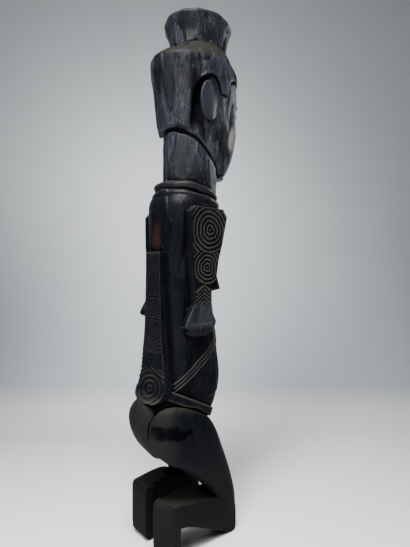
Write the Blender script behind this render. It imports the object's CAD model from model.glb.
import math
from functools import partial
from types import SimpleNamespace as Sizes

import bpy
import numpy as np
import openvdb
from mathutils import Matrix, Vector


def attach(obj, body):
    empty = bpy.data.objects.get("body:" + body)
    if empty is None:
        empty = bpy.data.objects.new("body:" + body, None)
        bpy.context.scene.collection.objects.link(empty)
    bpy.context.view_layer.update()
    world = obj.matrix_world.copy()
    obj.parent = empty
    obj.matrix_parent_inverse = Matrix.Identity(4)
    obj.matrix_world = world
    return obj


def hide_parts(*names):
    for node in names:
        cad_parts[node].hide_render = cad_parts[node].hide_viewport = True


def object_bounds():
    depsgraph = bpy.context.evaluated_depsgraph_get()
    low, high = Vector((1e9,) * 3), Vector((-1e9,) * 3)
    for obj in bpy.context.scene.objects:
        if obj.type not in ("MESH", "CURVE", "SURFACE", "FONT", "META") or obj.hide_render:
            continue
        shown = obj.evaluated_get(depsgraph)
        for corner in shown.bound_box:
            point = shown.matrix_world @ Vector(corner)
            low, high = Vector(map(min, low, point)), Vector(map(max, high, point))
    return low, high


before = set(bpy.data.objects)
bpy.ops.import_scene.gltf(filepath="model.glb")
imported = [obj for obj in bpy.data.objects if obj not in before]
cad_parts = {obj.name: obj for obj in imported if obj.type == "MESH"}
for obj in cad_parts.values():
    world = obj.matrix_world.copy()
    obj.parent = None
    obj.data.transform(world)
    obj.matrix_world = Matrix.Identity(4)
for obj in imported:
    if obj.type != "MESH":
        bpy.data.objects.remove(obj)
CAD_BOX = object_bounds()

MM = 0.001
SIGN = {"right": -1, "left": 1}
# The step of the carving's grid, the most triangles that the mesh keeps, and the distance of plain air.
GRID_STEP = 0.65
MOST_TRIANGLES = 190000
AIR = 10.0
# How far from a skin its distance is worked out.
SKIN_REACH = 7
# How far from the surface distances count for its mesh.
NEAR = 3.0

# Trunk sections: height, half width, reach to the front, reach to the back.
TRUNK = [
    (112, 24, 10, 34), (128, 31, 16, 44), (141, 34, 23.5, 49.5), (150, 35, 31, 49),
    (160, 35.3, 35.5, 46.5), (174, 34.8, 39.7, 42), (190, 33.8, 39.5, 39.5), (208, 32, 37, 38),
    (225, 31, 34.5, 37.5), (245, 29.5, 31.5, 37.5), (262, 28.5, 30, 37.5), (280, 28.5, 31, 37.5),
    (302, 30.5, 34.5, 37.5), (326, 34.5, 38, 37.5), (346, 36.5, 39, 38), (362, 36.5, 38.5, 38),
    (372, 33.5, 35, 35),
]
# The trunk is rounder in front; this makes its back squarer.
BACK_SQUARE = 0.8

# Head sections: height, half width, foremost y, rearmost y, up to the crown under the cap.
HEAD = [
    (398, 19, -50, 4), (406, 24, -57, 8), (418, 30, -62, 13), (432, 35.5, -65, 20.5),
    (448, 38.5, -66.5, 25.5), (464, 39.5, -67.5, 28), (482, 40, -69, 30.5), (500, 40.5, -68, 33),
    (515, 40, -63, 35.5), (524, 37, -58.5, 32.5), (532, 33, -53.5, 20), (541, 27.5, -47.5, 8.5),
]
# How far the hair stands out from the head.
HAIR_PROUD = 3.2
# The underside of the jaw and of the hair behind it, as y and height.
JAW_LINE = [(-47, 404), (4, 436), (14, 445), (40, 451.5)]
# The hair's edge on each side, from the nape round the ear, down the strip in front of it and over
# the forehead, as y and height.
HAIR_EDGE = [
    (15, 436), (16, 470), (14.5, 483), (9.5, 493.5), (2, 499), (-5, 501),
    (-11, 498), (-15, 492), (-18, 483), (-27, 483), (-31, 499), (-45, 507),
]
EAR = Sizes(y=-2.5, z=472.5, half_width=13.5, half_height=21, inside=36.5, outside=41.5)
# How deep the head is cut away behind the ears.
EAR_HOLLOW = 8
# The cap leans back and flares to a thin edge: height above its foot, and radius.
CAP = Sizes(y=-19.5, z=538, low=-4, high=32, lean=0.09, sides=13, flat=0.978)
CAP_PROFILE = [(-4, 32), (0, 32), (10, 32.8), (20, 35.3), (29, 39), (33, 37.6)]
NECK = Sizes(y=-6.7, radius=30.5, low=360, high=470, sides=11, flat=0.972)
NECK_RINGS = [
    Sizes(z=377.5, radius=31.2, thick=4.6, high=4.6),
    Sizes(z=367.5, radius=33, thick=4.6, high=4.8),
]
NECK_RING_LEAN = 0.17
NECK_RING_Y = -1
# The notch round the neck below the hair: its height, and how far it cuts into the neck.
NOTCH = Sizes(high=4.5, deep=3.6)
# The nose from the lip up to the brows: height, half width, and how far it stands out.
NOSE = [(441, 7.5, 0), (444, 8, 4.6), (448, 8.2, 6.6), (456, 6, 5.8), (470, 4.2, 3.2), (484, 5, 1)]

# The arm plates' distances from the middle.
ARM = Sizes(outside=40, inside=32)
# An arm plate seen from the side, as y and height.
ARM_OUTLINE = [
    (-27, 350), (-21, 358), (20, 358.5), (26.5, 352), (26, 318), (23.5, 288), (22, 271),
    (21.5, 254), (-3.5, 254), (-3.5, 269.5), (-16, 271.5), (-11, 286), (-14, 303), (-19.5, 320),
]
# The solid wood between the arm plates and the trunk, at the shoulders.
SHOULDER = Sizes(outside=38, inside=24, front=-21, rear=22, low=322, high=356)
# Circles carved on the arms, with the distance from one line to the next, and bent lines below them.
ARM_CIRCLES = [
    Sizes(y=-0.5, z=334, radius=24.5, pitch=4.75),
    Sizes(y=4, z=294.5, radius=16.5, pitch=4.2),
]
ARM_CARVED = 1.7
CHEVRONS = Sizes(apex_y=8, apex_z=276, slope=0.7, pitch=4.1, low=256.5)
# The hands: the back, how much higher each one sits, the palm behind it, and the fingers.
HAND = Sizes(outside=41, inside=33.5)
HAND_RISE = {"right": 0, "left": 8}
PALM = Sizes(inside=26, outside=35.5, front=-1, rear=21, low=226, high=252)
HAND_OUTLINE = [
    (-3, 255), (-3.5, 250), (-10.5, 237.5), (-9, 233), (-5.5, 231), (28, 231),
    (33.5, 233.5), (33.5, 237), (22.5, 255),
]
FINGERS = Sizes(count=5, first_y=-5, last_y=27, top=237, tip=222.5, rise=0.5, curl=0.35)

# The panel down the back: height, half width, y of its carved face.
PANEL = [
    (154, 10, 55), (156.5, 17, 54.3), (160.5, 22.3, 51.6), (166, 24, 48.7),
    (172, 23.5, 47), (181, 21.5, 45.6), (191, 20, 44.2), (206, 18.3, 44),
    (222, 15.8, 43.9), (250, 14, 43.8), (285, 12.8, 43.8), (311, 12, 44),
]
# The y from which the panel starts inside the trunk, how deep its carving is, and its raised border.
PANEL_ROOT = 30
PANEL_CARVED = 1.1
BORDER_WIDTH = 1.9

# The belt climbs to the rear.
BELT = Sizes(z=143.5, slope=0.5, height=9.5, proud=2.8)
# Three ridges that run round the trunk, lowest at the back.
SASH = Sizes(rows=3, pitch=4.3, proud=1.9)
# The middle ridge's way round from the front, as degrees and height.
SASH_PATH = [
    (0, 229), (42, 217.5), (80, 204), (111, 185.5), (144, 169), (158, 164.5),
]

# The rump is a squared ball whose top falls off to each side.
RUMP = Sizes(
    x=6, y=30, z=134, half_width=24, depth=33, above=31, right_aside=0.85,
    left_aside=0.4, below=44, square=3, roundness=2.6,
)
# A slope that cuts off the rump underneath, through this y and height, and climbs to the left.
RUMP_UNDER = Sizes(y=58, z=112.6, slope=1.6, aside=0.35)
# Thighs from the back to the knee: y and height of the upper and of the lower edge, distance from the
# middle, half width.
THIGH = {
    "right": [
        (58.5, 135, 58.5, 124, 17, 4), (55.5, 144, 57.5, 110.5, 20, 9),
        (44, 152, 52, 103, 25, 13), (13, 151.5, 44, 96, 28, 15.5),
        (-12, 128, 31, 88.5, 27.5, 18), (-26, 98.5, 10.2, 71.5, 27, 18),
        (-35, 76, -4.4, 58.6, 27.5, 16), (-42.5, 53.5, -14.4, 42.9, 28, 14),
        (-46.8, 32.5, -19.7, 27.7, 28, 12.5), (-44, 13.6, -24, 12.4, 28, 10),
    ],
    "left": [
        (56, 138, 56, 130, 17, 3), (51.5, 146.5, 53.5, 121.5, 18, 10),
        (38, 152, 50, 113.5, 20.5, 15.5), (14.3, 148.5, 44.5, 104.5, 24, 19.5),
        (-6.4, 126.6, 32.4, 93.4, 25.5, 20), (-22.4, 97.2, 11.4, 73.8, 27, 18),
        (-31.7, 74.7, -1.9, 59.3, 27.5, 16), (-38.8, 52.5, -11.2, 43.5, 28, 14),
        (-42.4, 31.5, -15.6, 28.5, 28, 12.5), (-39, 13, -19, 13, 28, 10),
    ],
}
# This makes the thighs squarer underneath.
THIGH_SQUARE = 0.66
# Depth of the crease where a thigh meets the rump.
CREASE = 1.2
# Lower legs from the knee to the heel: y, top at the outside, top at the inside, underside.
SHIN = {
    "right": [
        (-43, 24, 24, 6), (-39.5, 34, 34, 0), (-32, 40, 45, 0), (-16, 44.5, 51.5, 9.5),
        (0, 48, 56.5, 17.5), (16, 51.5, 60, 26), (30, 55, 60, 32), (46, 58, 57.5, 36),
    ],
    "left": [
        (-39, 24, 24, 6), (-35, 32, 32, 0), (-27, 40, 45, 0), (-13, 50, 50, 9.5),
        (0, 58, 58, 17.5), (16, 59.5, 59.5, 26), (30, 58.5, 58.5, 32), (44, 57, 57, 36),
    ],
}
# Distances of the lower legs' sides from the middle.
LEG = Sizes(inside=15.5, outside=39)
# Feet seen from the side, as distance behind their middle and height, and how each one stands.
FOOT_OUTLINE = [
    (-6, 0), (1, 0), (5, 6), (6, 15), (6, 54), (3, 58), (-6, 57),
]
FOOT_WIDTH = 26.5
FOOT_PLACE = {
    "right": Sizes(x=-25, y=44.6, turn=0.35),
    "left": Sizes(x=24, y=40, turn=0),
}

# Where a splinter has come off the right thigh: middle, half sizes and depth, as y and height.
SPLINTER = Sizes(y=44, z=129.5, half_long=21, half_high=9, depth=0.9)
BARE_SPOT = Sizes(y=54.3, z=127.3, half_long=3, half_high=1.1)
# Only what is at less than this x is on the right thigh.
RIGHT_THIGH = -16
# The drying crack at the right heel: y, lower end, and how fast it opens upwards.
HEEL_CRACK = Sizes(y=45.5, low=47, opening=0.03, inside=-34)

# The CAD box is centred on the origin, and reaches this far behind the trunk's axis.
REARMOST = 63.5
TRUNK_Y = CAD_BOX[1].y / MM - REARMOST


def soft_min(a, b, blend):
    """The lesser of two values, rounded off where they are nearly the same."""
    near = np.maximum(blend - np.abs(a - b), 0) / np.maximum(blend, 1e-6)
    return np.minimum(a, b) - near * near * (blend / 4)


def soft_max(a, b, blend):
    return -soft_min(-a, -b, blend)


def between(rows, at):
    """Smooth values between rows that start with a rising number: one array for each other column."""
    table = np.array(rows, float)
    steps, values = table[:, 0], table[:, 1:]
    slopes = np.empty_like(values)
    slopes[1:-1] = (values[2:] - values[:-2]) / (steps[2:] - steps[:-2])[:, None]
    slopes[0] = (values[1] - values[0]) / (steps[1] - steps[0])
    slopes[-1] = (values[-1] - values[-2]) / (steps[-1] - steps[-2])
    at = np.clip(at, steps[0], steps[-1])
    left = np.clip(np.searchsorted(steps, at, side="right") - 1, 0, len(steps) - 2)
    span = steps[left + 1] - steps[left]
    t = (at - steps[left]) / span
    curves = []
    for start, slope in zip(values.T, slopes.T):
        rise = (2 * t**3 - 3 * t**2 + 1) * start[left] + (3 * t**2 - 2 * t**3) * start[left + 1]
        bend = (t**3 - 2 * t**2 + t) * slope[left] + (t**3 - t**2) * slope[left + 1]
        curves.append((rise + span * bend).astype(np.float32))
    return curves


def outline_distance(points, across, up):
    """Distance to a closed outline, below zero inside it."""
    corners = np.array(points, np.float32)
    nearest = np.full(np.broadcast_shapes(across.shape, up.shape), 1e9, np.float32)
    inside = np.zeros(nearest.shape, bool)
    for (ax, az), (bx, bz) in zip(corners, np.roll(corners, -1, axis=0)):
        ex, ez = bx - ax, bz - az
        t = np.clip(((across - ax) * ex + (up - az) * ez) / (ex * ex + ez * ez), 0, 1)
        nearest = np.minimum(nearest, (across - ax - t * ex) ** 2 + (up - az - t * ez) ** 2)
        if bz != az:
            crossing = (az > up) != (bz > up)
            inside ^= crossing & (across < ax + (up - az) * ex / ez)
    return np.where(inside, -1, 1) * np.sqrt(nearest)


def ridges(distance, pitch, sharp=1.6):
    """Rounded crests a pitch apart, from 0 in the grooves to 1 on the crests, one at distance 0."""
    part = distance / pitch
    return 1 - (2 * np.abs(part - np.round(part))) ** sharp


def step_up(value, low, high):
    t = np.clip((value - low) / (high - low), 0, 1)
    return t * t * (3 - 2 * t)


def beyond(value, low, high):
    """How far a value lies outside a span, below zero within it."""
    return np.maximum(low - value, value - high)


def within(value, low, high):
    return (value > low) & (value < high)


def bump(across, up, half_width, half_height):
    return np.exp(-((across / half_width) ** 2) - (up / half_height) ** 2)


def dome(across, up, half_width, half_height):
    return np.sqrt(np.maximum(0, 1 - (across / half_width) ** 2 - (up / half_height) ** 2))


class Block:
    """A grid of distances to the wood's surface, below zero in the wood."""

    def __init__(self, low, high, step):
        self.step = step
        self.axes = [np.arange(a, b + step, step, dtype=np.float32) for a, b in zip(low, high)]
        self.wood = np.full([len(axis) for axis in self.axes], AIR, np.float32)

    def part(self, low, high):
        return tuple(slice(*np.searchsorted(axis, (a, b))) for axis, a, b in zip(self.axes, low, high))

    def places(self, spans):
        x, y, z = (axis[span] for axis, span in zip(self.axes, spans))
        return x[:, None, None], y[None, :, None], z[None, None, :]

    def join(self, shape, low, high, blend=0.0):
        spans = self.part(low, high)
        self.wood[spans] = soft_min(self.wood[spans], shape(*self.places(spans)), blend)

    def cut(self, shape, low, high, blend=0.0):
        spans = self.part(low, high)
        self.wood[spans] = soft_max(self.wood[spans], -shape(*self.places(spans)), blend)

    def shave(self, depth, low, high):
        spans = self.part(low, high)
        self.wood[spans] += depth(*self.places(spans))

    def join_skin(self, points, quads, blend, crease):
        """Joins the inside of a closed skin of four-sided faces, and cuts a line where it meets the
        rest. The blend and the width of the line are worked out for each place."""
        reach = math.ceil(SKIN_REACH / self.step)
        corners = (points.min(axis=0), points.max(axis=0))
        low, high = ([int((p - a[0]) / self.step) for p, a in zip(corner, self.axes)] for corner in corners)
        start = [max(0, cell - reach) for cell in low]
        end = [min(len(axis), cell + reach) for cell, axis in zip(high, self.axes)]
        cells = (points - [axis[0] for axis in self.axes]) / self.step - start
        grid = openvdb.FloatGrid.createLevelSetFromPolygons(
            cells.astype(np.float32),
            quads=quads.astype(np.uint32),
            transform=openvdb.createLinearTransform(voxelSize=1.0),
            halfWidth=float(reach),
        )
        skin = np.zeros([b - a for a, b in zip(start, end)], np.float32)
        grid.copyToArray(skin, ijk=(0, 0, 0))
        spans = tuple(slice(a, b) for a, b in zip(start, end))
        place = self.places(spans)
        rest = self.wood[spans]
        joined = soft_min(rest, skin * self.step, blend(*place))
        self.wood[spans] = soft_max(joined, crease(*place) - np.hypot(rest, skin * self.step), 0.3)

    def sample(self, points, values=None):
        """Values of the grid at points, in a straight line between its corners."""
        values = self.wood if values is None else values
        origin = np.array([axis[0] for axis in self.axes])
        at = (points - origin) / self.step
        low = np.clip(np.floor(at).astype(int), 0, np.array(values.shape) - 2)
        t = at - low
        total = np.zeros(len(points))
        for corner in np.ndindex(2, 2, 2):
            weight = np.prod(np.where(corner, t, 1 - t), axis=1)
            total += weight * values[tuple((low + corner).T)]
        return total

    def slope(self, points):
        reach = self.step * np.eye(3)
        return np.stack([self.sample(points + r) - self.sample(points - r) for r in reach], axis=1)


def trunk_polar(x, y, z):
    """How far out a place is against the trunk's surface, and its angle round from the front."""
    half, front, back = between(TRUNK, z)
    deep = np.where(y < 0, front, back)
    power = np.where(y < 0, 2.0, 2 / BACK_SQUARE).astype(np.float32)
    across = (np.abs(x) / half) ** (power / 2)
    along = (np.abs(y) / deep) ** (power / 2)
    size = (across**2 + along**2) ** (1 / power)
    far = np.maximum(np.hypot(x, y), 0.01)
    angle = np.degrees(np.arctan2(across, -np.sign(y) * along))
    return far - far / np.maximum(size, 1e-4), angle


def trunk(x, y, z):
    side, _ = trunk_polar(x, y, z)
    return soft_max(side, beyond(z, TRUNK[0][0], TRUNK[-1][0]), 4)


def sash(x, y, z):
    side, angle = trunk_polar(x, y, z)
    (middle,) = between(SASH_PATH, angle)
    across = z - middle
    edge = SASH.rows / 2 * SASH.pitch
    height = SASH.proud * ridges(across, SASH.pitch) - 0.4
    return soft_max(side - height, np.abs(across) - edge, 0.8)


def belt(x, y, z):
    side, _ = trunk_polar(x, y, z)
    level = np.abs(z - BELT.z - BELT.slope * y) * math.cos(math.atan(BELT.slope))
    return soft_max(side - BELT.proud, level - BELT.height / 2, 1)


def pill(x, z, middle, half_length):
    """Distance from an upright line in the middle of the panel."""
    return np.hypot(x, np.maximum(np.abs(z - middle) - half_length, 0))


def panel_carving(x, z):
    """Height of the carving on the back panel: arches, hatching, loops, circles and slanting lines."""
    half, _ = between(PANEL, z)
    arches = ridges(np.hypot(x, z - 300.5), 2.7, 1.4) * (z > 299.5)
    hatch = ridges(x - 0.15 * (z - 294), 3.3) * (np.abs(z - 295) < 4)
    loops = ridges(pill(x, z, 277.5, 4) - 1.8, 3.7) * (np.abs(z - 277.5) < 12.8)
    scrolls = ridges(pill(x, z, 252.5, 2) - 1, 3.6) * (np.abs(z - 252.5) < 11.2)
    circle = ridges(np.hypot(x, z - 232) - 2, 2.8) * (np.abs(z - 232) < 8.4)
    fan = ridges(np.hypot(x + 14, z - 205), 3.9) * (np.abs(z - 214) < 9)
    faint = 0.45 * ridges(np.hypot(x, z - 180), 4.2) * (np.abs(z - 197) < 7.5)
    slanting = ridges(z - 0.31 * x - 181, 3.9) * (np.abs(z - 182.5) < 7)
    oval = np.hypot(x / 1.35 + 0.06 * (z - 168.5), z - 168.5)
    rings = 1.3 * ridges(oval - 2.8, 5.2, 1.4)
    upper = arches + hatch + loops + scrolls + circle + fan + faint + slanting
    pattern = np.where(oval < 15.8 + 5 * (z < 168), rings, upper)
    border = step_up(np.abs(x), half - BORDER_WIDTH - 0.4, half - BORDER_WIDTH + 0.4) * (z > 186)
    return PANEL_CARVED * (np.maximum(pattern * (1 - border), 1.2 * border)) - 0.3


def spine_panel(x, y, z):
    half, face = between(PANEL, z)
    beads = 1.3 * (ridges(z, 4.8) - 0.6) * step_up(z, 170, 176) * step_up(208 - z, 0, 6)
    side = np.maximum(np.abs(x) - half - beads * (y > face - 4), PANEL_ROOT - y)
    front = y - face - panel_carving(x, z)
    ends = beyond(z, PANEL[0][0], PANEL[-1][0])
    return soft_max(soft_max(side, front, 0.8), ends, 1)


def arm_carving(y, z):
    """Circles one above the other, and bent lines below them down to the wrist."""
    upper, lower = ARM_CIRCLES
    rings = []
    for circle in ARM_CIRCLES:
        along, up = y - circle.y, z - circle.z
        angle = np.arctan2(up, along)
        wavy = np.hypot(along, up) + 0.45 * np.sin(3 * angle + circle.z) + 0.2 * np.sin(7 * angle + 2)
        rings.append(ridges(wavy, circle.pitch, 1.3))
    touch = upper.z - upper.radius + 1.5
    under = np.hypot(y - lower.y, z - lower.z) > lower.radius + 1.5
    across = z - CHEVRONS.apex_z + CHEVRONS.slope * np.abs(y - CHEVRONS.apex_y)
    bent = ridges(across, CHEVRONS.pitch) * (across < 2) * (z > CHEVRONS.low)
    return ARM_CARVED * np.where(z > touch, rings[0], np.where(under & (z < lower.z), bent, rings[1]))


def arms(x, y, z):
    out = np.abs(x)
    edge = outline_distance(ARM_OUTLINE, y, z)
    rim = step_up(edge, -2.6, -1.6)
    carving = np.maximum(arm_carving(y, z) * (1 - rim), 1.1 * rim)
    plate = soft_max(edge, np.maximum(out - ARM.outside - carving + 0.5, ARM.inside - out), 1.4)
    block = np.maximum(beyond(y, SHOULDER.front, SHOULDER.rear), beyond(z, SHOULDER.low, SHOULDER.high))
    return soft_min(plate, np.maximum(block, beyond(out, SHOULDER.inside, SHOULDER.outside)), 1)


def hand(side):
    rise = HAND_RISE[side]

    def shape(x, y, z):
        """A flat back of the hand with a ridge at its rear, and five short fingers that curl in."""
        out = SIGN[side] * x
        up = z - rise
        edge = outline_distance(HAND_OUTLINE, y, up)
        rim = bump(edge + 1.8, 0, 1.6, 1) * step_up(y, 12, 20)
        back = soft_max(edge, np.maximum(out - HAND.outside - 0.9 * rim + 0.4, HAND.inside - out), 2)
        pitch = (FINGERS.last_y - FINGERS.first_y) / FINGERS.count
        place = (y - FINGERS.first_y) / pitch
        finger = np.clip(np.floor(place), 0, FINGERS.count - 1)
        round_off = 1.5 * np.abs(2 * (place - finger - 0.5)) ** 2.5
        tip = FINGERS.tip + FINGERS.rise * (finger - (FINGERS.count - 1) / 2) ** 2
        below = np.maximum(FINGERS.top - 3 - up, 0)
        surface = HAND.outside + 1 - FINGERS.curl * below - round_off
        ends = beyond(y, FINGERS.first_y, FINGERS.last_y)
        reach = soft_max(np.maximum(ends, tip + 0.8 * round_off - up), out - surface, 2.5)
        fingers = np.maximum(reach, np.maximum(up - FINGERS.top, HAND.inside - 3 - out))
        palm = np.maximum(beyond(y, PALM.front, PALM.rear), beyond(up, PALM.low, PALM.high))
        palm = np.maximum(palm, beyond(out, PALM.inside, PALM.outside))
        return soft_min(soft_min(back, fingers, 0.6), palm, 1)

    return shape


def flats(across, along, sides, turn=0.3):
    """Reach towards the nearest of a column's flat cut faces, which are unevenly spread."""
    reach = []
    for face in range(sides):
        angle = turn + 2 * math.pi / sides * (face + 0.22 * math.sin(2.4 * face))
        reach.append(across * math.cos(angle) + along * math.sin(angle))
    return np.max(reach, axis=0)


def neck(x, y, z):
    along = y - NECK.y
    flat = flats(x, along, NECK.sides) - NECK.radius * NECK.flat
    side = soft_max(flat, np.hypot(x, along) - NECK.radius - 0.2, 0.8)
    return np.maximum(side, beyond(z, NECK.low, NECK.high))


def neck_rings(x, y, z):
    along = y - NECK_RING_Y
    angle = np.arctan2(along, x)
    rings = []
    for number, ring in enumerate(NECK_RINGS):
        wave = 0.6 * np.sin(3 * angle + 2 * number) + 0.45 * np.sin(8 * angle + number)
        up = (z - ring.z - NECK_RING_LEAN * along - wave) / ring.high
        out = np.maximum(np.hypot(x, along) - ring.radius, 0) / ring.thick
        rings.append(((out**1.6 + np.abs(up) ** 1.6) ** (1 / 1.6) - 1) * ring.thick)
    return np.min(rings, axis=0)


def head_loft(x, y, z, proud):
    half, front, rear = between(HEAD, z)
    middle = (front + rear) / 2
    along = y - middle
    size = np.hypot(x / half, along / ((rear - front) / 2))
    far = np.maximum(np.hypot(x, along), 0.01)
    side = far - far / np.maximum(size, 1e-4) - proud
    top = z - HEAD[-1][0] - proud * 0.3
    return soft_max(side, np.maximum(HEAD[0][0] - z, top), 2)


def under_jaw(y, z, proud):
    """Height below the line of the jaw, which runs up to the nape and bends behind the ear."""
    below = []
    for (y0, z0), (y1, z1) in zip(JAW_LINE, JAW_LINE[1:]):
        slope = (z1 - z0) / (y1 - y0)
        below.append((z0 + slope * (y - y0) - proud - z) * math.cos(math.atan(slope)))
    return np.min(below, axis=0)


def brow_height(x, z):
    """How far the brows and the closed eyes stand out from the front of the head."""
    out = np.abs(x)
    arch = 484.5 - 0.018 * (out - 13) ** 2
    brow = 2.1 * np.exp(-(((z - arch) / 2.7) ** 2)) * step_up(out, 1, 6) * step_up(31 - out, 0, 7)
    socket = -3.4 * bump(out - 15, z - 473, 11.5, 8)
    lid = 3.6 * dome(out - 15.5, z - 472, 10, 6.2)
    line = 470.6 - 1.8 * np.maximum(0, 1 - ((out - 15.5) / 9) ** 2)
    slit = -1.3 * np.exp(-(((z - line) / 0.75) ** 2)) * step_up(10 - np.abs(out - 15.5), 0, 1.5)
    return brow + socket + lid + slit


def nose_height(x, z):
    out = np.abs(x)
    width, high = between(NOSE, z)
    ridge = high * np.exp(-((out / width) ** 2.4)) * (z > NOSE[0][0]) * step_up(488 - z, 0, 4)
    wings = 2.8 * dome(out - 7, z - 446.5, 4.4, 4.6)
    return np.maximum(ridge, wings)


def mouth_height(x, z):
    out = np.abs(x)
    muzzle = 1.4 * bump(x, z - 431, 15, 9)
    upper = 2.2 * dome(x, z - 432.6 - 0.04 * out, 11, 3.3)
    lower = 2.5 * dome(x, z - 427.6, 9, 3.5)
    part = -1.5 * np.exp(-(((z - 430.4) / 0.8) ** 2)) * step_up(11.5 - out, 0, 2)
    groove = -0.9 * bump(x, z - 438.5, 1.8, 3.5)
    chin = 2.6 * bump(x, z - 413, 9, 7)
    cheeks = 1.2 * bump(out - 20, z - 450, 9, 11)
    return muzzle + np.maximum(upper, lower) + part + groove + chin + cheeks


def head(x, y, z):
    features = brow_height(x, z) + nose_height(x, z) + mouth_height(x, z)
    front = step_up(-y, 30, 42)
    behind_ear = EAR_HOLLOW * step_up(y, -9, 6) * step_up(512 - z, 0, 8)
    skull = head_loft(x, y, z, 0) + behind_ear
    face = soft_max(skull - features * front, under_jaw(y, z, 0), 3)
    bare = outline_distance(HAIR_EDGE + [(-130, 507), (-130, 400), (13, 400)], y, z)
    hair = soft_max(head_loft(x, y, z, HAIR_PROUD), -bare, 1)
    hair = soft_max(hair, under_jaw(y, z, 1), 1)
    edge = np.hypot(bare + 0.5, skull) - 1.2
    return soft_max(np.minimum(face, hair), -edge, 0.4)


def nape_undercut(x, y, z):
    """A notch round the neck below the hair."""
    below = under_jaw(y, z, 1)
    ring = NECK.radius - NOTCH.deep - np.hypot(x, y - NECK.y) + 2.5 * step_up(-y, 8, 30)
    return np.maximum(beyond(below, 0, NOTCH.high), ring)


def ear_oval(y, z):
    return np.hypot((y - EAR.y) / EAR.half_width, (z - EAR.z) / EAR.half_height)


def ears(x, y, z):
    """Plain oval flaps that stand out from the head, so that there is a deep recess behind them."""
    oval = ear_oval(y, z)
    out = np.abs(x) - EAR.outside + 1.4 * oval**2 + 0.12 * np.maximum(EAR.y - y, 0)
    return soft_max((oval - 1) * EAR.half_width, np.maximum(out, EAR.inside - np.abs(x)), 1.6)


def cap(x, y, z):
    along = y - CAP.y
    up = z - CAP.z - CAP.lean * along
    (radius,) = between(CAP_PROFILE, up)
    flat = flats(x, along, CAP.sides) - radius * CAP.flat
    side = soft_max(flat, np.hypot(x, along) - radius, 0.6)
    return soft_max(side, beyond(up, CAP.low, CAP.high), 0.8)


def rump(x, y, z):
    aside = x - RUMP.x
    wide = (np.abs(aside) / RUMP.half_width) ** RUMP.square
    deep = (np.abs(y - RUMP.y) / RUMP.depth) ** RUMP.square
    level = (wide + deep) ** (1 / RUMP.square)
    up = z - RUMP.z
    above = RUMP.above - np.where(aside < 0, -RUMP.right_aside, RUMP.left_aside) * aside
    reach = np.where(up > 0, np.maximum(above, 4), RUMP.below)
    power = RUMP.roundness
    size = (level**power + (np.abs(up) / reach) ** power) ** (1 / power)
    under = RUMP_UNDER.z - RUMP_UNDER.slope * (RUMP_UNDER.y - y) - z
    under = under + RUMP_UNDER.aside * np.maximum(x, 0)
    under = under / math.hypot(1, RUMP_UNDER.slope)
    return soft_max((size - 1) * RUMP.half_width, under, 8)


def thigh_skin(side, around=48, along=91):
    """Ovals from the thigh's upper edge to its lower edge, squarer below, joined into a closed skin."""
    rows = [(number, *row) for number, row in enumerate(THIGH[side])]
    top_y, top_z, low_y, low_z, out, half = between(rows, np.linspace(0, len(rows) - 1, along))
    angle = np.linspace(0, 2 * math.pi, around, endpoint=False)
    squarer = np.where(angle > math.pi, THIGH_SQUARE, 1)
    wide = np.sign(np.cos(angle)) * np.abs(np.cos(angle)) ** squarer
    up = np.sign(np.sin(angle)) * np.abs(np.sin(angle)) ** squarer
    x = SIGN[side] * (out[:, None] + half[:, None] * wide)
    y = ((top_y + low_y)[:, None] + (top_y - low_y)[:, None] * up) / 2
    z = ((top_z + low_z)[:, None] + (top_z - low_z)[:, None] * up) / 2
    points = np.stack([x, y, z], axis=-1).reshape(-1, 3)
    ends = [points[:around].mean(axis=0), points[-around:].mean(axis=0)]
    ring = np.arange(around)
    after = (ring + 1) % around
    quads = []
    for row in range(along - 1):
        low, high = row * around, (row + 1) * around
        quads.append(np.stack([low + ring, low + after, high + after, high + ring], axis=1))
    even = ring[::2]
    for middle, start in ((len(points), 0), (len(points) + 1, (along - 1) * around)):
        edge = [start + (even + step) % around for step in range(3)]
        quads.append(np.stack([np.full(len(even), middle), *edge], axis=1))
    return np.vstack([points, ends]), np.vstack(quads)


def merged_left(x, y):
    """One where the left buttock runs into the rump, nothing elsewhere."""
    return step_up(x, 0, 4) * step_up(30 - x, 0, 8) * step_up(y, 20, 34)


def thigh_blend(x, y, _):
    return 0.6 + 6 * merged_left(x, y)


def thigh_crease(x, y, z):
    return CREASE * (1 - 3 * merged_left(x, y)) * step_up(z, 62, 80)


def shin(side):
    rows = SHIN[side]

    def shape(x, y, z):
        out = SIGN[side] * x
        top_outside, top_inside, under = between(rows, y)
        share = (out - LEG.inside) / (LEG.outside - LEG.inside)
        top = z - top_inside - (top_outside - top_inside) * share
        sides = beyond(out, LEG.inside, LEG.outside)
        ends = beyond(y, rows[0][0], rows[-1][0])
        return soft_max(soft_max(np.maximum(top, under - z), sides, 1.6), ends, 2)

    return shape


def foot(side):
    place = FOOT_PLACE[side]
    cos, sin = math.cos(place.turn), math.sin(place.turn)

    def shape(x, y, z):
        across = cos * (x - place.x) + sin * (y - place.y)
        behind = cos * (y - place.y) - sin * (x - place.x)
        edge = outline_distance(FOOT_OUTLINE, behind, z)
        return soft_max(edge, np.abs(across) - FOOT_WIDTH / 2, 1.2)

    return shape


def splinter_share(y, z):
    """How much of a place lies in the splinter's jagged patch."""
    along = (y - SPLINTER.y) / SPLINTER.half_long
    up = (z - SPLINTER.z - 1.2 * np.sin(4 * along)) / SPLINTER.half_high
    jagged = 0.1 * np.sin(9 * along - 0.8) + 0.06 * np.sin(19 * along) + 0.1 * np.sin(5 * up + 3 * along)
    return step_up(1 - np.hypot(along, up) - jagged, 0, 0.6)


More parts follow.
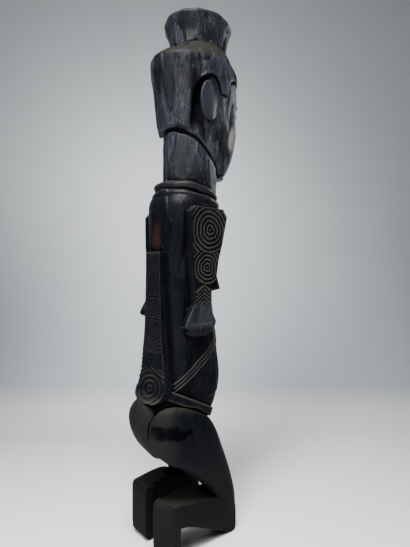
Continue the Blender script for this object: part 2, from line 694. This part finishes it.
def splinter(x, y, z):
    """How deep the wood is broken away, deepest under the patch's upper edge."""
    up = (z - SPLINTER.z) / SPLINTER.half_high
    floor = 0.6 + 0.4 * np.clip(up, -1, 1) + 0.12 * np.sin(0.45 * y)
    return SPLINTER.depth * splinter_share(y, z) * floor * (x < RIGHT_THIGH)


def heel_crack(x, y, z):
    """A drying crack that runs down from the corner of the right heel."""
    line = y - HEEL_CRACK.y - 0.8 * np.sin(0.5 * z)
    up = z - HEEL_CRACK.low
    side = np.abs(line) - HEEL_CRACK.opening * np.maximum(up, 0)
    return np.maximum(side, np.maximum(-up, x - HEEL_CRACK.inside))


def carve():
    """The whole figure out of one block, each shape between the corners that it stays inside."""
    block = Block((-48, -78, -4), (48, 68, 580), GRID_STEP)
    block.join(trunk, (-46, -48, 104), (46, 56, 382))
    block.join(rump, (-34, -10, 76), (34, 68, 180), 1.5)
    block.join(belt, (-46, -48, 108), (46, 56, 180), 0.6)
    block.join(sash, (-46, -48, 152), (46, 56, 242), 0.8)
    block.join(spine_panel, (-32, 20, 140), (32, 62, 320), 1)
    for side, (low, high) in {"right": (-48, 0), "left": (0, 48)}.items():
        block.join_skin(*thigh_skin(side), thigh_blend, thigh_crease)
        block.join(shin(side), (low, -54, -4), (high, 56, 76), 1.6)
        block.join(foot(side), (low, 26, -4), (high, 66, 66), 1)
        block.join(hand(side), (low, -20, 214), (high, 44, 272), 1)
    block.join(arms, (-46, -34, 246), (46, 34, 366), 1)
    block.join(neck, (-40, -46, 352), (40, 34, 478), 2.5)
    block.join(neck_rings, (-42, -44, 350), (42, 42, 395), 0.8)
    block.cut(nape_undercut, (-48, -40, 400), (48, 44, 470), 1.5)
    block.join(head, (-48, -78, 390), (48, 44, 550), 0.6)
    block.join(ears, (-48, -24, 448), (48, 20, 502), 0.8)
    block.join(cap, (-46, -66, 528), (46, 26, 580), 1)
    block.shave(splinter, (-48, 22, 112), (-14, 62, 138))
    block.cut(heel_crack, (-44, 36, 44), (-26, 62, 62), 0.2)
    return block


def skin_of(block):
    """The wood's surface as points in millimetres and four-sided faces that point out."""
    near = np.clip(block.wood, -NEAR, NEAR).astype(np.float32)
    grid = openvdb.FloatGrid(NEAR)
    grid.copyFromArray(near, tolerance=0)
    cells, quads = grid.convertToQuads(0.0)
    points = cells.astype(float) * block.step + np.array([axis[0] for axis in block.axes])
    for _ in range(2):
        slope = block.slope(points)
        steep = np.maximum((slope**2).sum(axis=1), 0.2)
        away = block.sample(points) * 2 * block.step / steep
        points -= np.clip(away, -0.5, 0.5)[:, None] * slope
    a, b, c = (points[quads[:, k]] for k in range(3))
    if (a * np.cross(b, c)).sum() < 0:
        quads = quads[:, ::-1]
    return points, quads


def blurred(values, reach):
    """The mean of a grid over a box that reaches so many cells each way."""
    for axis in range(3):
        padded = np.concatenate([np.take(values, [0] * (reach + 1), axis), values], axis)
        padded = np.concatenate([padded, np.take(values, [-1] * reach, axis)], axis)
        total = np.cumsum(padded, axis=axis, dtype=np.float64)
        size = values.shape[axis]
        ahead = np.take(total, np.arange(size) + 2 * reach + 1, axis)
        behind = np.take(total, np.arange(size), axis)
        values = ((ahead - behind) / (2 * reach + 1)).astype(np.float32)
    return values


def mesh_of(name, points, faces):
    mesh = bpy.data.meshes.new(name)
    corners = faces.shape[1]
    mesh.vertices.add(len(points))
    mesh.vertices.foreach_set("co", points.astype(np.float32).ravel())
    mesh.loops.add(faces.size)
    mesh.loops.foreach_set("vertex_index", faces.astype(np.int32).ravel())
    mesh.polygons.add(len(faces))
    mesh.polygons.foreach_set("loop_start", np.arange(0, faces.size, corners, dtype=np.int32))
    mesh.update(calc_edges=True)
    mesh.validate()
    mesh.shade_smooth()
    return mesh


def placed(name, data):
    """A new object in the scene."""
    made = bpy.data.objects.new(name, data)
    bpy.context.scene.collection.objects.link(made)
    return made


def places_of(mesh):
    """A mesh's points in metres."""
    flat = np.empty(len(mesh.vertices) * 3, np.float32)
    mesh.vertices.foreach_get("co", flat)
    return flat.reshape(-1, 3)


def keep_on_points(mesh, name, values):
    attribute = mesh.attributes.new(name, "FLOAT", "POINT")
    attribute.data.foreach_set("value", np.asarray(values, np.float32))


def add_node(tree, kind, inputs=None, **settings):
    """Adds a node, a shader node by its short name. Its inputs take plain values or other nodes'
    outputs; gives the new node's outputs."""
    node = tree.nodes.new(kind if "Node" in kind else "ShaderNode" + kind)
    for name, value in settings.items():
        setattr(node, name, value)
    for name, value in (inputs or {}).items():
        if isinstance(value, bpy.types.NodeSocket):
            tree.links.new(value, node.inputs[name])
        else:
            node.inputs[name].default_value = value
    return node.outputs


def linear(code):
    """An sRGB hex colour as linear red, green, blue and alpha."""
    parts = [int(code[i : i + 2], 16) / 255 for i in (1, 3, 5)]
    return [p / 12.92 if p <= 0.04045 else ((p + 0.055) / 1.055) ** 2.4 for p in parts] + [1]


# Flats that the tools left, in millimetres: how far each is cut towards a plane, and the most that it
# moves the surface.
CUTS = {
    "adze": {"Cut width": 14, "Cut length": 60, "Flatness": 0.9, "Most": 1.0, "Seed": 2.0},
    "knife": {"Cut width": 5.5, "Cut length": 18, "Flatness": 0.6, "Most": 0.3, "Seed": 5.0},
}


def cut_flats_tree():
    """Presses a surface towards a flat plane at each cut, with an edge between one cut and the next."""
    tree = bpy.data.node_groups.new("cut_flats", "GeometryNodeTree")
    face = tree.interface
    face.new_socket("Geometry", in_out="INPUT", socket_type="NodeSocketGeometry")
    for name in ("Cut width", "Cut length", "Flatness", "Most", "Seed"):
        face.new_socket(name, in_out="INPUT", socket_type="NodeSocketFloat")
    face.new_socket("Wood", in_out="INPUT", socket_type="NodeSocketMaterial")
    face.new_socket("Geometry", in_out="OUTPUT", socket_type="NodeSocketGeometry")
    add = partial(add_node, tree)
    given = add("NodeGroupInput")
    place = add("GeometryNodeInputPosition")[0]
    normal = add("GeometryNodeInputNormal")[0]
    width = given["Cut width"]
    size = add("CombineXYZ", {0: width, 1: width, 2: given["Cut length"]})[0]
    scaled = add("VectorMath", {0: place, 1: size}, operation="DIVIDE")[0]
    inputs = {"Vector": scaled, "W": given["Seed"], "Scale": 1.0, "Randomness": 0.85}
    cells = add("TexVoronoi", inputs, voronoi_dimensions="4D")
    middle = add("VectorMath", {0: cells["Position"], 1: size}, operation="MULTIPLY")[0]
    # The cut's plane goes through the surface nearest to the middle of its cell.
    nearest = {"Mesh": given[0], "Sample Position": middle}
    cut_at, cut_normal = (
        add("GeometryNodeSampleNearestSurface", {**nearest, "Value": value}, data_type="FLOAT_VECTOR")[0]
        for value in (place, normal)
    )
    offset = add("VectorMath", {0: place, 1: cut_at}, operation="SUBTRACT")[0]
    above = add("VectorMath", {0: offset, 1: cut_normal}, operation="DOT_PRODUCT")
    facing = add("VectorMath", {0: normal, 1: cut_normal}, operation="DOT_PRODUCT")
    least = add("Math", {0: given["Most"], 1: -1.0}, operation="MULTIPLY")[0]
    lift = add("Clamp", {0: above["Value"], 1: least, 2: given["Most"]})[0]
    same_side = add("MapRange", {"Value": facing["Value"], "From Min": 0.7, "From Max": 0.93})[0]
    free = add("GeometryNodeInputNamedAttribute", {"Name": "worked"}, data_type="FLOAT")[0]
    for share in (given["Flatness"], same_side, free):
        lift = add("Math", {0: lift, 1: share}, operation="MULTIPLY")[0]
    push = add("VectorMath", {0: cut_normal, "Scale": lift}, operation="SCALE")[0]
    cut = add("VectorMath", {0: place, 1: push}, operation="SUBTRACT")[0]
    moved = add("GeometryNodeSetPosition", {"Geometry": given[0], "Position": cut})[0]
    real = add("GeometryNodeRealizeInstances", {0: moved})[0]
    finished = add("GeometryNodeSetMaterial", {"Geometry": real, "Material": given["Wood"]})[0]
    add("NodeGroupOutput", {0: finished})
    return tree


# How far the grid is blurred to find crests and open surfaces, and the most distance that counts.
BLUR = Sizes(crest=1.7, open=6, most=2.5)
# Heights between which the neck rings lie.
RINGS_Z = (355, 388)


def evaluated_mesh(piece):
    """The piece's mesh with its modifiers worked in, which are then removed."""
    graph = bpy.context.evaluated_depsgraph_get()
    mesh = bpy.data.meshes.new_from_object(piece.evaluated_get(graph))
    piece.modifiers.clear()
    piece.data = mesh
    return mesh


def worked_share(points, crest):
    """How strongly the flats show: fully on plain surfaces, faintly on carving, edges, face and legs."""
    x, y, z = points.T
    out = np.abs(x)
    plain = 1 - step_up(np.abs(crest), 0.12, 0.4)
    on_arm = (out > 36) & within(z, 215, 362)
    on_panel = (y > 40) & within(z, 150, 313) & (out < 25)
    on_face = (y < -44) & within(z, 400, 503)
    on_rings = within(z, *RINGS_Z)
    on_ear = ear_oval(y, z) < 1.2
    on_legs = within(z, 2, 158)
    on_sole = z < 2
    for place, share in (
        (on_arm, 0.15), (on_panel, 0.1), (on_face, 0.12), (on_rings, 0.35),
        (on_ear, 0.3), (on_legs, 0.1), (on_sole, 0.0),
    ):
        plain = np.where(place, np.minimum(plain, share), plain)
    return plain


def dust_share(points):
    """How much dust the crests hold: most on the carved lines, little on plain edges, none on fingers."""
    x, y, z = points.T
    out = np.abs(x)
    half, face = between(PANEL, z)
    from_trunk, _ = trunk_polar(x, y, z)
    on_panel = (y > face - 2.5) & (np.abs(out - half) > 0.8)
    on_arm = (out > 38) & (z > 254) & (outline_distance(ARM_OUTLINE, y, z) < -2.2)
    on_bands = (from_trunk > 0.4) & within(z, 130, 235) & (y < face - 5) & (out < 39)
    on_fingers = (out > 30) & within(z, 218, 254) & (np.abs(y - 11) < 19)
    share = np.full(len(points), 0.12)
    for place, its_share in (
        (within(z, *RINGS_Z), 0.6), (on_arm, 1), (on_bands, 1),
        (on_panel & within(z, 152, 311), 0.85), (on_panel & within(z, 152, 188), 1.1), (on_fingers, 0),
    ):
        share[place] = its_share
    return share


def carved_figure(wood):
    block = carve()
    points, quads = skin_of(block)
    mesh = mesh_of("carved_figure", (points + (0, TRUNK_Y, 0)) * MM, quads)
    figure = placed("carved_figure", mesh)
    clipped = np.clip(block.wood, -BLUR.most, BLUR.most)
    crests = blurred(clipped, round(BLUR.crest / GRID_STEP))
    keep_on_points(mesh, "worked", worked_share(points, block.sample(points, crests)))
    tree = cut_flats_tree()
    sockets = {item.name: item.identifier for item in tree.interface.items_tree}
    for tool, cut in CUTS.items():
        cuts = figure.modifiers.new(tool, "NODES")
        cuts.node_group = tree
        for name, value in cut.items():
            cuts[sockets[name]] = value * (MM if name in ("Cut width", "Cut length", "Most") else 1)
        cuts[sockets["Wood"]] = wood
    evaluated_mesh(figure)
    thin = figure.modifiers.new("thin", "DECIMATE")
    thin.ratio = min(1.0, MOST_TRIANGLES / (2 * len(quads)))
    mesh = evaluated_mesh(figure)
    low, high = (np.array(corner) for corner in CAD_BOX)
    places = np.clip(places_of(mesh), low, high).astype(np.float32)
    mesh.vertices.foreach_set("co", places.ravel())
    mesh.update()
    mesh.shade_smooth()
    points = places / MM - (0, TRUNK_Y, 0)
    moved = block.sample(points)
    crest = block.sample(points, crests) - moved
    keep_on_points(mesh, "crest", crest)
    keep_on_points(mesh, "dusty", crest * dust_share(points))
    x, y, z = points.T
    on_right = x < RIGHT_THIGH
    keep_on_points(mesh, "scar", on_right * splinter_share(y, z))
    spot = bump(y - BARE_SPOT.y, z - BARE_SPOT.z, BARE_SPOT.half_long, BARE_SPOT.half_high)
    keep_on_points(mesh, "bare", on_right * spot)
    rise = np.where(x > 0, HAND_RISE["left"], HAND_RISE["right"])
    on_hand = (np.abs(x) > 40) * step_up(z - rise, 227, 237) * step_up(264 - z, 0, 10)
    keep_on_points(mesh, "palm", on_hand)
    wide = blurred(clipped, round(BLUR.open / GRID_STEP))
    keep_on_points(mesh, "open", block.sample(points, wide) - moved)
    return figure


# Patterns in the wood: size across, along and up in millimetres, turn, and detail.
PATTERNS = {
    "fibres": ((1, 1, 25), (0, 0, 0), 3.0),
    "scratches": ((0.9, 0.9, 13), (0.28, 0.2, 0), 2.0),
    "crossing": ((0.9, 0.9, 13), (-0.24, -0.2, 0), 2.0),
    "grain": ((2.4, 2.4, 45), (0, 0, 0), 3.0),
    "patches": ((9, 9, 24), (0, 0, 0), 2.0),
    "stain": ((26, 26, 26), (0, 0, 0), 3.0),
    "specks": ((2.4, 2.4, 2.4), (0, 0, 0), 4.0),
}


def new_material(name):
    """An empty material, what adds nodes to it, and each place, whole and as its coordinates."""
    made = bpy.data.materials.new(name)
    made.use_nodes = True
    made.node_tree.nodes.clear()
    add = partial(add_node, made.node_tree)
    place = add("TexCoord")["Object"]
    return made, add, place, add("SeparateXYZ", {0: place})


def lay_over(add, values, layers, colour, rough, gloss):
    """Lays a material's layers over its first colour, roughness and gloss."""
    colour = linear(colour)
    for over, its_rough, its_gloss, share, *limits in layers:
        for name, low, high in limits:
            inputs = {"Value": values[name], "From Min": low, "From Max": high, "To Max": share}
            share = add("MapRange", inputs, interpolation_type="SMOOTHSTEP")[0]
        colour = add("Mix", {0: share, 6: colour, 7: linear(over)}, data_type="RGBA")[2]
        if its_rough:
            rough = add("Mix", {0: share, 2: rough, 3: its_rough})[0]
        if its_gloss:
            gloss = add("Mix", {0: share, 2: gloss, 3: its_gloss})[0]
    return colour, rough, gloss


# The wood's layers from below: colour, roughness and gloss if they change, share, and the limits
# between which each value lets the layer in. Places are in metres.
WOOD_LAYERS = (
    # Uneven stain, glossier on the head and duller on the legs, with pale fibres.
    ("#090b12", 0.46, 0.08, 1.0, ("stain", 0.35, 0.65)),
    ("#0e1016", 0.44, 0.25, 1.0, ("height", 0.33, 0.41)),
    ("#090b10", 0.5, 0.03, 1.0, ("height", 0.18, 0.15)),
    ("#14161d", None, None, 0.4, ("fibres", 0.45, 0.75)),
    # Lighter cuts on the head, and the ears' rubbed faces.
    ("#292c35", 0.5, None, 0.9, ("tone", 0.3, 1.0), ("height", 0.36, 0.41)),
    ("#2f323a", 0.5, 0.2, 0.6, ("out", 0.0395, 0.041), ("height", 0.45, 0.456), ("height", 0.5, 0.494)),
    # Blue-grey scuffs, strong on the head and faint elsewhere.
    ("#646974", 0.55, None, 0.55,
     ("scuffs", 0.53, 0.66), ("patches", 0.3, 0.6), ("tone", -0.2, 0.8), ("height", 0.38, 0.41)),
    ("#20232b", 0.55, None, 0.3, ("scuffs", 0.52, 0.68), ("patches", 0.4, 0.6)),
    # Deep shade behind the ears.
    ("#040507", 0.8, 0.02, 0.9, ("out", 0.038, 0.034), ("along", 0.002, 0.008), ("along", 0.025, 0.021),
     ("height", 0.438, 0.452), ("height", 0.506, 0.5)),
    # Worn hands.
    ("#36383d", 0.6, 0.1, 0.8, ("palm", 0.2, 1.0), ("specks", 0.1, 0.6), ("tone", -0.6, 0.6)),
    # Reddish wear beside the spine.
    ("#2c1819", 0.6, 0.1, 0.85, ("fibres", 0.2, 0.6), ("along", 0.034, 0.042), ("from_spine", 0.011, 0.004),
     ("height", 0.3, 0.318), ("height", 0.352, 0.335)),
    # Dust on the rump, on carved crests, on upward faces, on the cap and on the legs.
    ("#222120", 0.85, 0.06, 0.8, ("along", 0.038, 0.063), ("height", 0.166, 0.157), ("specks", 0.1, 0.5)),
    ("#58574f", 0.85, 0.06, 0.65, ("dusty", 0.08, 0.75), ("specks", 0.1, 0.6), ("height", 0.4, 0.388)),
    ("#34332d", 0.9, 0.05, 0.75, ("upward", 0.4, 0.95), ("specks", 0.2, 0.6)),
    ("#2b2a24", 0.9, 0.05, 0.85, ("upward", 0.15, 0.5), ("specks", 0.25, 0.5), ("height", 0.51, 0.525)),
    ("#171613", 0.85, 0.06, 0.5, ("height", 0.12, 0.05), ("specks", 0.2, 0.6)),
    ("#191816", 0.85, 0.04, 0.5, ("height", 0.1, 0.06), ("grain", 0.45, 0.7)),
    # The splinter's patch, its bare spot, and black in the grooves.
    ("#020305", 0.8, 0.01, 0.9, ("scar", 0.0, 0.9)),
    ("#4c4942", 0.8, 0.06, 0.85, ("bare", 0.3, 0.9)),
    ("#040405", 0.85, 0.04, 0.9, ("depth", -0.1, -0.9)),
)


def stained_hardwood():
    """Dense hardwood stained black and carved with an adze and a knife: near black and dark blue in the
    flats, scuffed blue-grey where it was touched, dull with dry grey-brown dust on the crests and the
    upward faces, with a reddish wear down the upper back."""
    wood, add, place, (side, along, height) = new_material("stained_hardwood")
    values = {"along": along, "height": height}
    for name in ("crest", "open", "dusty", "scar", "bare", "palm"):
        values[name] = add("Attribute", attribute_name=name)["Fac"]
    values["depth"] = add("Math", {0: values["crest"], 1: values["open"]}, operation="ADD")[0]
    values["upward"] = add("SeparateXYZ", {0: add("NewGeometry")["Normal"]})[2]
    values["out"] = add("Math", {0: side}, operation="ABSOLUTE")[0]
    from_spine = add("Math", {0: side, 1: 0.004}, operation="SUBTRACT")[0]
    values["from_spine"] = add("Math", {0: from_spine}, operation="ABSOLUTE")[0]
    for name, (size, turn, detail) in PATTERNS.items():
        inputs = {"Vector": place, "Scale": [MM * length for length in size], "Rotation": turn}
        at = add("Mapping", inputs, vector_type="TEXTURE")[0]
        values[name] = add("TexNoise", {"Vector": at, "Scale": 1.0, "Detail": detail})[0]
    values["scuffs"] = add("Math", {0: values["scratches"], 1: values["crossing"]}, operation="MAXIMUM")[0]
    # Each flat that the adze left took the stain a little differently.
    adze = CUTS["adze"]
    size = [MM * adze[name] for name in ("Cut width", "Cut width", "Cut length")]
    at = add("Mapping", {"Vector": place, "Scale": size}, vector_type="TEXTURE")[0]
    inputs = {"Vector": at, "W": adze["Seed"], "Scale": 1.0, "Randomness": 0.85}
    cells = add("TexVoronoi", inputs, voronoi_dimensions="4D")
    values["tone"] = add("SeparateXYZ", {0: cells["Color"]})[0]

    colour, rough, gloss = lay_over(add, values, WOOD_LAYERS, "#05070c", 0.4, 0.08)
    relief = add("Mix", {0: 0.4, 2: values["scuffs"], 3: values["specks"]})[0]
    bumped = add("Bump", {"Height": relief, "Strength": 0.25, "Distance": 0.0005})[0]
    inputs = {"Base Color": colour, "Roughness": rough, "Specular IOR Level": gloss, "Normal": bumped}
    surface = add("BsdfPrincipled", {**inputs, "IOR": 1.5})
    add("OutputMaterial", {"Surface": surface[0]})
    return wood


PAPER_LAYERS = (
    ("#c8ced2", None, None, 1, ("height", 0.0005, 0.035)),
    ("#dde3e6", None, None, 1, ("height", 0.1, 0.5)),
)


def seamless_paper():
    """Matt unglazed paper: white where it is the floor, and greyer up the wall."""
    paper, add, _, (_, _, height) = new_material("seamless_paper")
    shade, rough, gloss = lay_over(add, {"height": height}, PAPER_LAYERS, "#f2f2f2", 0.9, 0.2)
    surface = add("BsdfPrincipled", {"Base Color": shade, "Roughness": rough, "Specular IOR Level": gloss})
    add("OutputMaterial", {"Surface": surface[0]})
    return paper


# The sweep of paper turns up behind the figure as the camera sees it, in metres.
SWEEP = Sizes(behind=0.27, in_front=2.5, half_width=3.0, bend=0.55, height=3.0)


def studio():
    """A floor of white paper that turns up into a wall behind the figure."""
    bend = SWEEP.bend
    profile = [(SWEEP.in_front, 0.0)]
    for angle in np.radians(np.linspace(0, 90, 25)):
        profile.append((-SWEEP.behind - bend * math.sin(angle), bend - bend * math.cos(angle)))
    profile.append((-SWEEP.behind - bend, SWEEP.height))
    points, quads = [], []
    for number, (out, up) in enumerate(profile):
        for side in (-1, 1):
            flat = out * TOWARDS_CAMERA + side * SWEEP.half_width * RIGHT_OF_CAMERA
            points.append((flat[0], flat[1], up))
        if number:
            quads.append((2 * number - 2, 2 * number, 2 * number + 1, 2 * number - 1))
    sweep = placed("paper_sweep", mesh_of("paper_sweep", np.array(points), np.array(quads)))
    sweep.data.materials.append(seamless_paper())
    world = bpy.data.worlds.new("pale_room")
    world.use_nodes = True
    background = world.node_tree.nodes["Background"].inputs
    background["Color"].default_value = linear("#d3d7da")
    background["Strength"].default_value = 0.035
    bpy.context.scene.world = world


def softbox(name, place, aim, size, power, spread=180):
    """A light and the place it shines at, each as metres towards the camera, to its right, and up."""
    light = bpy.data.lights.new(name, "AREA")
    light.spread = math.radians(spread)
    light.shape = "RECTANGLE"
    light.size, light.size_y = size
    light.energy = power
    holder = placed(name, light)
    stand, target = (
        Vector((*(out * TOWARDS_CAMERA + right * RIGHT_OF_CAMERA), up)) for out, right, up in (place, aim)
    )
    holder.location = stand
    holder.rotation_euler = (target - stand).to_track_quat("-Z", "Y").to_euler()
    holder.visible_camera = False


# The photograph was taken level, from behind the figure's right side: degrees from -X to the rear,
# millimetres, and pixels of the photograph's height.
CAMERA = Sizes(turn=43, distance=463, aside=22.6, height=292, focal_px=411, horizon_px=270)
IMAGE_HEIGHT = 547
TURN = math.radians(CAMERA.turn)
TOWARDS_CAMERA = np.array((-math.cos(TURN), math.sin(TURN)))
RIGHT_OF_CAMERA = np.array((-math.sin(TURN), -math.cos(TURN)))


def camera():
    flat = CAMERA.distance * TOWARDS_CAMERA + CAMERA.aside * RIGHT_OF_CAMERA + (0, TRUNK_Y)
    lens = bpy.data.cameras.new("camera")
    lens.sensor_width = 36
    lens.lens = CAMERA.focal_px * lens.sensor_width / IMAGE_HEIGHT
    lens.shift_y = (CAMERA.horizon_px - IMAGE_HEIGHT / 2) / IMAGE_HEIGHT
    lens.clip_start = 0.01
    lens.clip_end = 200
    holder = placed("camera", lens)
    holder.location = (flat[0] * MM, flat[1] * MM, CAMERA.height * MM)
    holder.rotation_euler = Vector((*-TOWARDS_CAMERA, 0)).to_track_quat("-Z", "Y").to_euler()
    bpy.context.scene.camera = holder


camera()
studio()
softbox("front_softbox", (0.65, -0.3, 1.05), (0, 0, 0.47), (0.5, 0.5), 1.4, 45)
softbox("face_softbox", (-0.4, 0.65, 0.6), (0, 0, 0.33), (0.3, 0.3), 0.3, 50)
softbox("overhead", (0.85, -0.1, 2.2), (0.75, -0.1, 0), (0.8, 0.8), 23, 52)
softbox("wall_softbox", (-0.26, -0.13, 0.48), (-0.82, -0.17, 0.48), (0.05, 0.25), 3.8)


figure = carved_figure(stained_hardwood())
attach(figure, "root")
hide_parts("figure")
